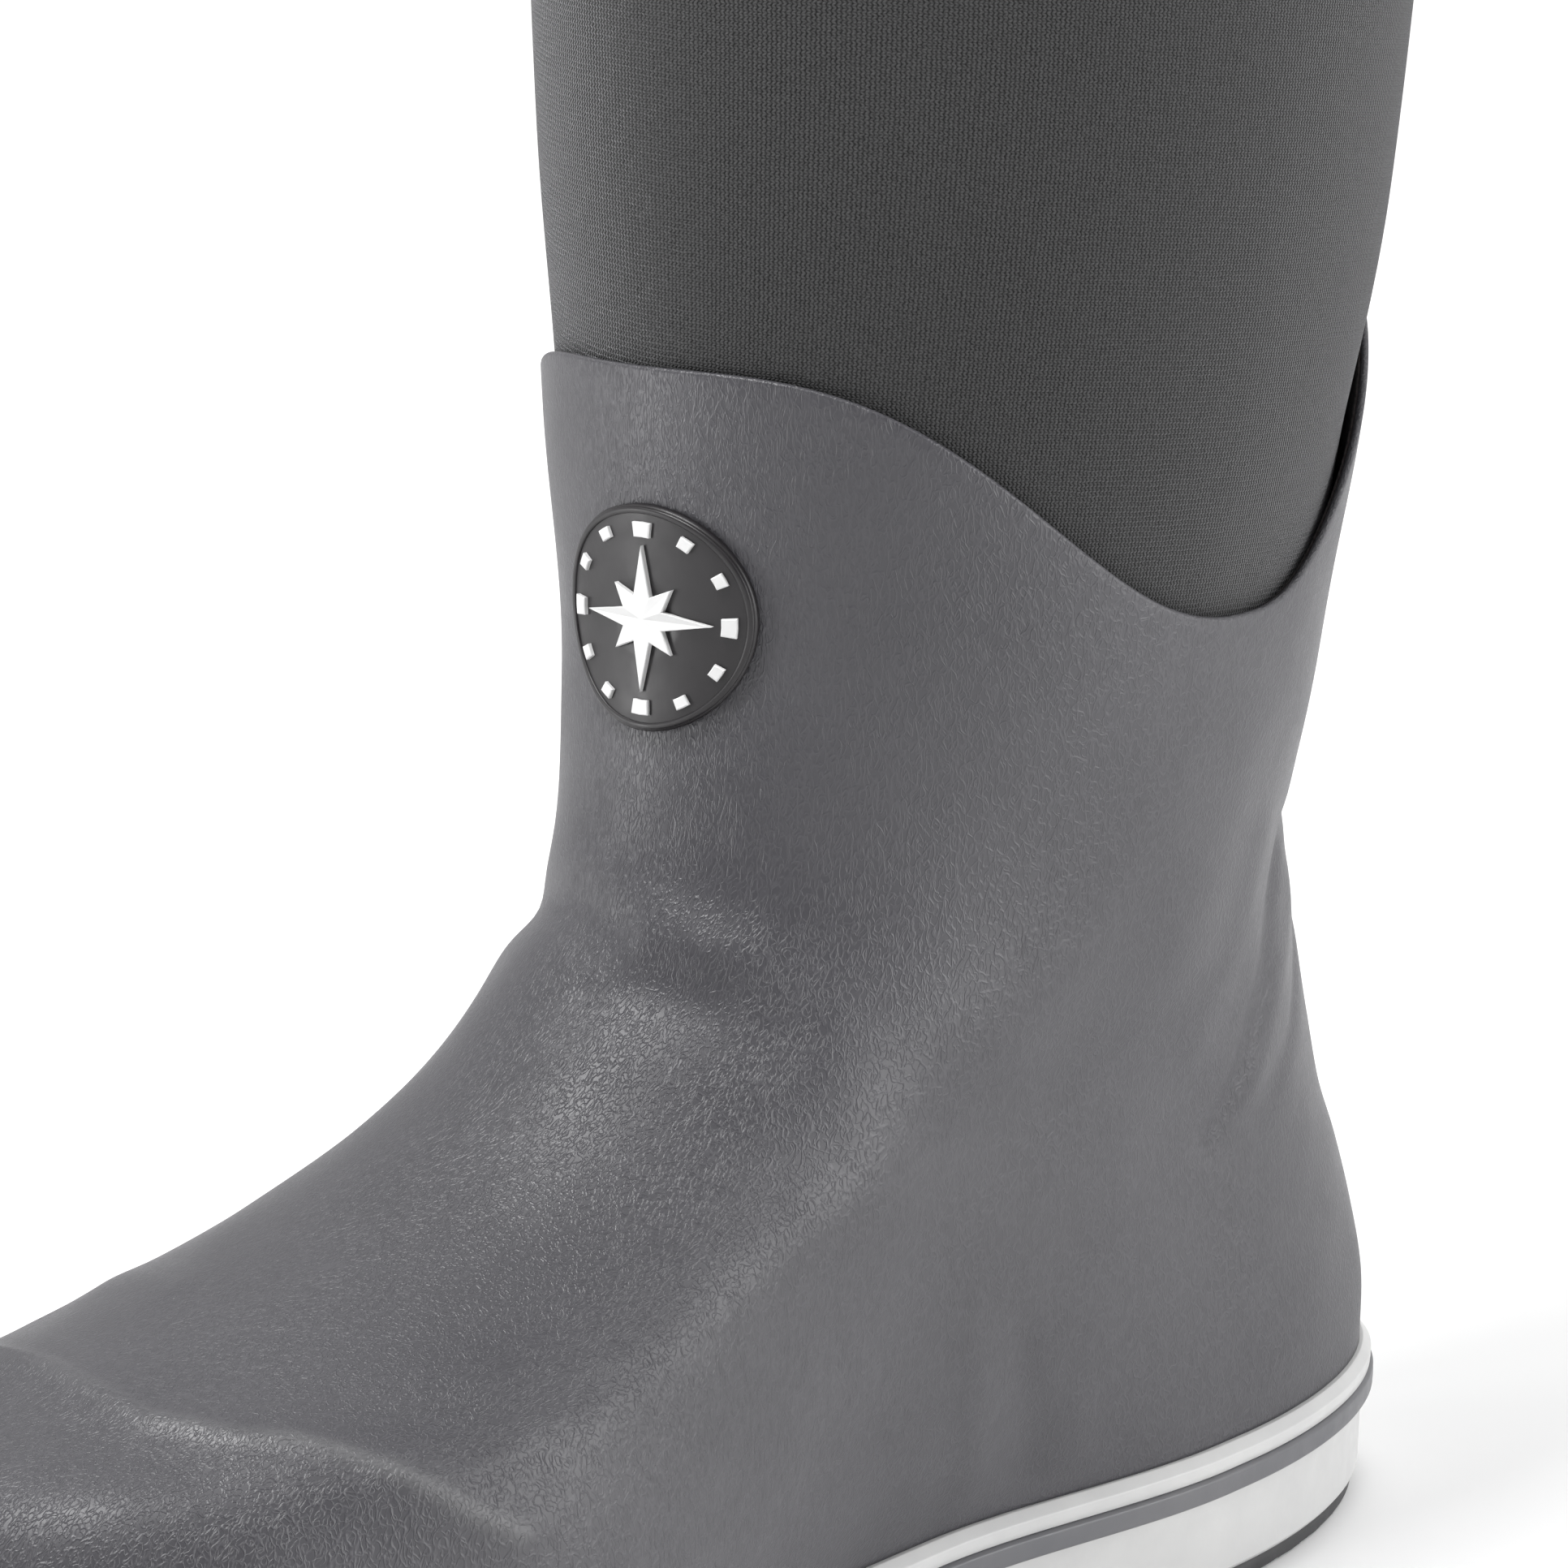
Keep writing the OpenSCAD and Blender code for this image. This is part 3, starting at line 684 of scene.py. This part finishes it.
def surface_stitches(name, a, z, off, length, radius, vertical=False):
    """Threads off mm outside the skin, at angles a and heights z."""
    t = level(np.minimum(z, BOOT_H - 1), a)
    p = layer(t, a, off)
    p[..., 2] = z
    n = skin_normal(t, a)
    along = unit(skin(np.minimum(t + 0.03, LAST), a) - skin(t - 0.03, a)) if vertical else \
        unit(skin(t, a + 0.01) - skin(t, a - 0.01))
    return capsules(name, p, along, n, length, radius)


around_leg = angles(HEM_STITCHES)
leg_free = bootie_offset(np.full(HEM_STITCHES, LAST - 0.1), around_leg, float(BINDING_LOW), 0)
stitch_z = np.full(HEM_STITCHES, BINDING_LOW + 2.6)
hem_row = surface_stitches("binding_stitches", around_leg, stitch_z, leg_free + 0.75, 2.3, 0.28)
finish_piece(hem_row, "boot", "binding_fabric", thread)


# ---------------------------------------------------------------- back seam tape
def seam_strip():
    """Strip with a rounded face up the back of the leg, closed at both ends."""
    half, thick = math.radians(6.5), 0.55
    low, high = topline(math.pi) + 2, BINDING_LOW + 0.6
    z = np.linspace(low, high, 60)
    across = np.linspace(-1, 1, 15)
    a = math.pi + half * across[None, :]
    wrapped = np.where(a > math.pi, a - 2 * math.pi, a)
    t = level(z[:, None], a)
    free = bootie_offset(t, wrapped, z[:, None], 0)
    crown = thick * (1 - np.abs(across[None, :]) ** 6) + 0.02
    outer = layer(t, a, free + crown)
    inner = layer(t, a, free - 0.15)
    ring = np.concatenate([outer, inner[:, ::-1]], 1)
    strip = grid_object("back_tape", ring, wrap_rows=False)
    cols = ring.shape[1]
    mesh = strip.data
    verts = [tuple(v.co) for v in mesh.vertices]
    faces = [list(p.vertices) for p in mesh.polygons]
    last = (len(z) - 1) * cols
    n = len(across)
    for base, flip in ((0, False), (last, True)):
        for k in range(n - 1):
            quad = [base + k, base + k + 1, base + cols - 2 - k, base + cols - 1 - k]
            faces.append(quad if flip else quad[::-1])
    mesh.clear_geometry()
    mesh.from_pydata(verts, [], faces)
    mesh.shade_smooth()
    return strip


back_tape = seam_strip()
finish_piece(back_tape, "boot", "binding_fabric", tape, "seam_tape")
rail_z = np.arange(topline(math.pi) + 4, BINDING_LOW - 1, 3.2)
for label, side in (("outer", 1), ("inner", -1)):
    rail_a = np.full(len(rail_z), math.pi - side * math.radians(4.8))
    rail_t = level(rail_z, rail_a)
    rail_off = bootie_offset(rail_t, rail_a, rail_z, 0) + 0.5
    rail = surface_stitches("tape_stitches_" + label, rail_a, rail_z, rail_off, 2.3, 0.25, True)
    finish_piece(rail, "boot", "binding_fabric", thread)

# ---------------------------------------------------------------- pull loop and its patch
hinge = np.array(frame["joints"][0]["pos_m"]) * 1000
loop_low, loop_high = [np.array(v) * 1000 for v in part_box("pull_loop")]


def loop_path():
    """Middle of the webbing in (y, z), once around the closed loop from its neck."""
    length = hinge[2] - loop_low[2] - 5.2
    down = np.array([0, 2, 5, 10, 16, 24, 32, 40, length])
    half = np.array([0.8, 1.1, 1.9, 3.05, 3.6, 4.0, 4.2, 4.35, 4.45])
    shift = np.array([0, 0.2, 0.7, 1.4, 1.4, 1.4, 1.4, 1.4, 1.4])
    fine = np.linspace(0, length, 40)
    w, c = np.interp(fine, down, half), np.interp(fine, down, shift)
    front = np.column_stack([c - w, -fine])
    turn = np.linspace(math.pi, 2 * math.pi, 16)[1:-1]
    bottom = np.column_stack([1.4 + 4.45 * np.cos(turn), -length + 4.45 * np.sin(turn)])
    rear = np.column_stack([c + w, -fine])[::-1]
    over = np.linspace(0, math.pi, 8)[1:-1]
    neck = np.column_stack([0.8 * np.cos(over), 0.8 * np.sin(over)])
    return np.concatenate([front, bottom, rear, neck])


def loop_mesh():
    """Flat webbing with soft edges, along the loop's path."""
    path = loop_path()
    tangent = unit(np.roll(path, -1, 0) - np.roll(path, 1, 0))
    out = np.column_stack([-tangent[:, 1], tangent[:, 0]])
    half_w, half_t = 10.9, 0.72
    section = []
    for w in np.linspace(0, 2 * math.pi, 44, endpoint=False):
        c, s = math.cos(w), math.sin(w)
        section.append((half_w * np.sign(c) * abs(c) ** 0.25, half_t * np.sign(s) * abs(s) ** 0.6))
    pts = np.array([[(x, hinge[1] + p[0] + n * o[0], hinge[2] + p[1] + n * o[1])
                     for x, n in section] for p, o in zip(path, out)])
    return grid_object("pull_strap", pts[:, ::-1])


strap = loop_mesh()
finish_piece(strap, "loop", "loop_webbing", webbing, "pull_loop")


def patch_mesh():
    """Stitched patch with rounded corners that hides where the loop enters."""
    low, high = [np.array(v) * 1000 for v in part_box("loop_anchor")]
    a = np.linspace(0, 2 * math.pi, 72, endpoint=False)
    half = np.array([(high[0] - low[0]) / 2, (high[2] - low[2]) / 2 + 1.4])
    mid = (low + high) / 2
    outline = np.column_stack([np.sign(np.cos(a)) * np.abs(np.cos(a)) ** 0.3 * half[0],
                               np.sign(np.sin(a)) * np.abs(np.sin(a)) ** 0.3 * half[1]])
    rings = []
    for share, depth in ((0.02, 1.1), (0.5, 1.15), (0.85, 1.1), (0.96, 0.95), (1, 0.5), (1, -0.3),
                         (0.02, -0.3)):
        xy = outline * share
        rings.append(np.column_stack([mid[0] + xy[:, 0], np.full(len(a), low[1] - 0.1 + depth),
                                      mid[2] + xy[:, 1]]))
    return grid_object("loop_patch", np.stack(rings)[::-1])


patch = patch_mesh()
finish_piece(patch, "boot", "binding_fabric", tape, "loop_anchor")

# ---------------------------------------------------------------- badge
# height and angle of the badge's centre, and the shin's radius there
BADGE_Z, BADGE_A, SHIN_R = 168.5, 4, 48


def spot(u, v, off):
    """Point on the shin, u across and v up from the badge's centre."""
    a = np.radians(BADGE_A) + np.asarray(u) / SHIN_R
    t = level(BADGE_Z + np.asarray(v), a)
    return layer(t, a, off)


def disc(name, rings, n=120):
    """Round piece from rings of [radius, height off the shin]."""
    b = np.linspace(0, 2 * math.pi, n, endpoint=False)
    rows = [spot(r * np.sin(b), r * np.cos(b), off) for r, off in rings]
    return grid_object(name, np.stack(rows))


def raised(name, outlines, base, top, inset):
    """Raised marks from outlines of (u, v) points, with a small bevel."""
    verts, faces = [], []
    for line in outlines:
        line = np.array(line, float)
        c = line.mean(0)
        n = len(line)
        start = len(verts)
        shrink = 1 - inset / np.linalg.norm(line - c, axis=1).mean()
        for pts, off in ((line, base), (line, top - 0.12), (c + (line - c) * shrink, top)):
            verts.extend(spot(pts[:, 0], pts[:, 1], off))
        verts.extend([spot(c[0], c[1], top), spot(c[0], c[1], base)])
        for k in range(n):
            k2 = (k + 1) % n
            for lower in (0, n):
                faces.append([start + lower + k2, start + lower + k, start + lower + n + k,
                              start + lower + n + k2])
            faces.append([start + 2 * n + k, start + 3 * n, start + 2 * n + k2])
            faces.append([start + k, start + k2, start + 3 * n + 1])
    obj = make_object(name, verts, faces)
    for p in obj.data.polygons:
        p.use_smooth = False
    return obj


def polar(r, degrees):
    return (r * math.sin(math.radians(degrees)), r * math.cos(math.radians(degrees)))


badge = disc("badge_base", [(0.3, 1.25), (6, 1.3), (12, 1.35), (15.1, 1.35), (15.75, 1.25),
                            (16, 0.95), (16, -0.6), (8, -0.6), (0.3, -0.6)])
finish_piece(badge, "boot", "badge_black", badge_black, "badge_disc")
border = disc("badge_border", [(14.75, 1.2), (14.8, 1.5), (15, 1.62), (15.4, 1.62), (15.65, 1.5),
                               (15.75, 1.1)])
finish_piece(border, "boot", "badge_black", badge_black, "badge_rim")


def star():
    """Eight points, every second one shorter."""
    line = []
    for k in range(8):
        line.append(polar(10.4 if k % 2 == 0 else 6.6, k * 45))
        line.append(polar(3.5, k * 45 + 22.5))
    return line


def ticks():
    """Twelve marks near the rim, every third one larger."""
    out = []
    for k in range(12):
        wide, r0 = (6.0, 11.6) if k % 3 == 0 else (4.2, 12.1)
        out.append([polar(r, k * 30 + w) for r, w in
                    ((r0, -wide), (r0, 0), (r0, wide), (13.7, wide), (13.7, 0), (13.7, -wide))])
    return out


compass = raised("badge_compass", [star()], 1.1, 2.1, 0.3)
finish_piece(compass, "boot", "badge_white", badge_white, "badge_star")
marks = raised("badge_marks", ticks(), 1.1, 1.95, 0.2)
finish_piece(marks, "boot", "badge_white", badge_white, "badge_ticks")

# ---------------------------------------------------------------- CAD nodes that stay
for node, look in (("outsole", sole_rubber), ("midsole", core_rubber), ("shank", steel),
                   ("lasting_board", board), ("heel_counter", stiffener),
                   ("toe_puff", stiffener), ("bootie_sole", lining_cloth)):
    kept = frame["nodes"][node]
    kept.data.materials.clear()
    kept.data.materials.append(look)

# ---------------------------------------------------------------- floor and light
FLOOR, FLOOR_Z = 30, -0.0003
floor_mesh = bpy.data.meshes.new("floor")
floor_mesh.from_pydata([(-FLOOR, -FLOOR, FLOOR_Z), (FLOOR, -FLOOR, FLOOR_Z),
                        (FLOOR, FLOOR, FLOOR_Z), (-FLOOR, FLOOR, FLOOR_Z)], [], [(0, 1, 2, 3)])
floor = bpy.data.objects.new("floor", floor_mesh)
bpy.context.scene.collection.objects.link(floor)
floor_look = Look("floor", (0.9, 0.9, 0.9), 0.9, Specular_IOR_Level=0.1)
# the floor glows a little further out, so that it goes on into the white backdrop
from_boot = floor_look.node("ShaderNodeVectorMath", {0: floor_look.coords((1, 1, 1))},
                            operation="LENGTH").outputs["Value"]
floor_look.shader.inputs["Emission Color"].default_value = (1, 1, 1, 1)
floor_look.put(floor_look.shader.inputs["Emission Strength"],
               floor_look.span(from_boot, 0.3, 1.4, 0, 0.35))
floor.data.materials.append(floor_look.mat)

world = bpy.data.worlds.new("studio")
bpy.context.scene.world = world
world.use_nodes = True
sky = world.node_tree
backdrop = sky.nodes["Background"]
backdrop.inputs["Color"].default_value = (1, 1, 1, 1)
# the surroundings are bright behind the boot and dim on the side that the camera is on
direction = sky.nodes.new("ShaderNodeTexCoord")
facing = sky.nodes.new("ShaderNodeVectorMath")
facing.operation = "DOT_PRODUCT"
facing.inputs[1].default_value = (0.68, -0.71, 0.1)
dim = sky.nodes.new("ShaderNodeMapRange")
dim.interpolation_type = "SMOOTHSTEP"
for key, value in (("From Min", -0.1), ("From Max", 0.95), ("To Min", 0.86), ("To Max", 0.04)):
    dim.inputs[key].default_value = value
sky.links.new(direction.outputs["Generated"], facing.inputs[0])
sky.links.new(facing.outputs["Value"], dim.inputs["Value"])
# the backdrop itself looks white
seen = sky.nodes.new("ShaderNodeLightPath")
strength = sky.nodes.new("ShaderNodeMath")
strength.operation = "MAXIMUM"
sky.links.new(dim.outputs[0], strength.inputs[0])
sky.links.new(seen.outputs["Is Camera Ray"], strength.inputs[1])
sky.links.new(strength.outputs[0], backdrop.inputs["Strength"])
LIGHT_AIM = np.array([0, 0, 0.12])


def area_light(name, place, size, power):
    """Soft box that faces the boot."""
    data = bpy.data.lights.new(name, "AREA")
    data.shape = "RECTANGLE"
    data.size, data.size_y = size
    data.energy = power
    obj = bpy.data.objects.new(name, data)
    bpy.context.scene.collection.objects.link(obj)
    place = np.array(place, float)
    back = unit(place - LIGHT_AIM)
    right = unit(np.cross((0, 0, 1), back))
    up = np.cross(back, right)
    m = np.eye(4)
    m[:3, 0], m[:3, 1], m[:3, 2], m[:3, 3] = right, up, back, place
    obj.matrix_world = Matrix(m.tolist())


sun_data = bpy.data.lights.new("sky", "SUN")
sun_data.energy = 0.75
sun_data.angle = math.radians(80)
sun = bpy.data.objects.new("sky", sun_data)
sun.rotation_euler = (math.radians(-25), math.radians(10), 0)
bpy.context.scene.collection.objects.link(sun)
area_light("left_box", (-0.68, -0.96, 0.1), (0.3, 0.6), 7.5)
area_light("top_box", (-0.05, -0.42, 1.14), (0.4, 0.35), 13)
area_light("right_box", (1.1, 0.62, 0.4), (0.6, 0.9), 11)

bpy.context.scene.view_settings.view_transform = "Standard"
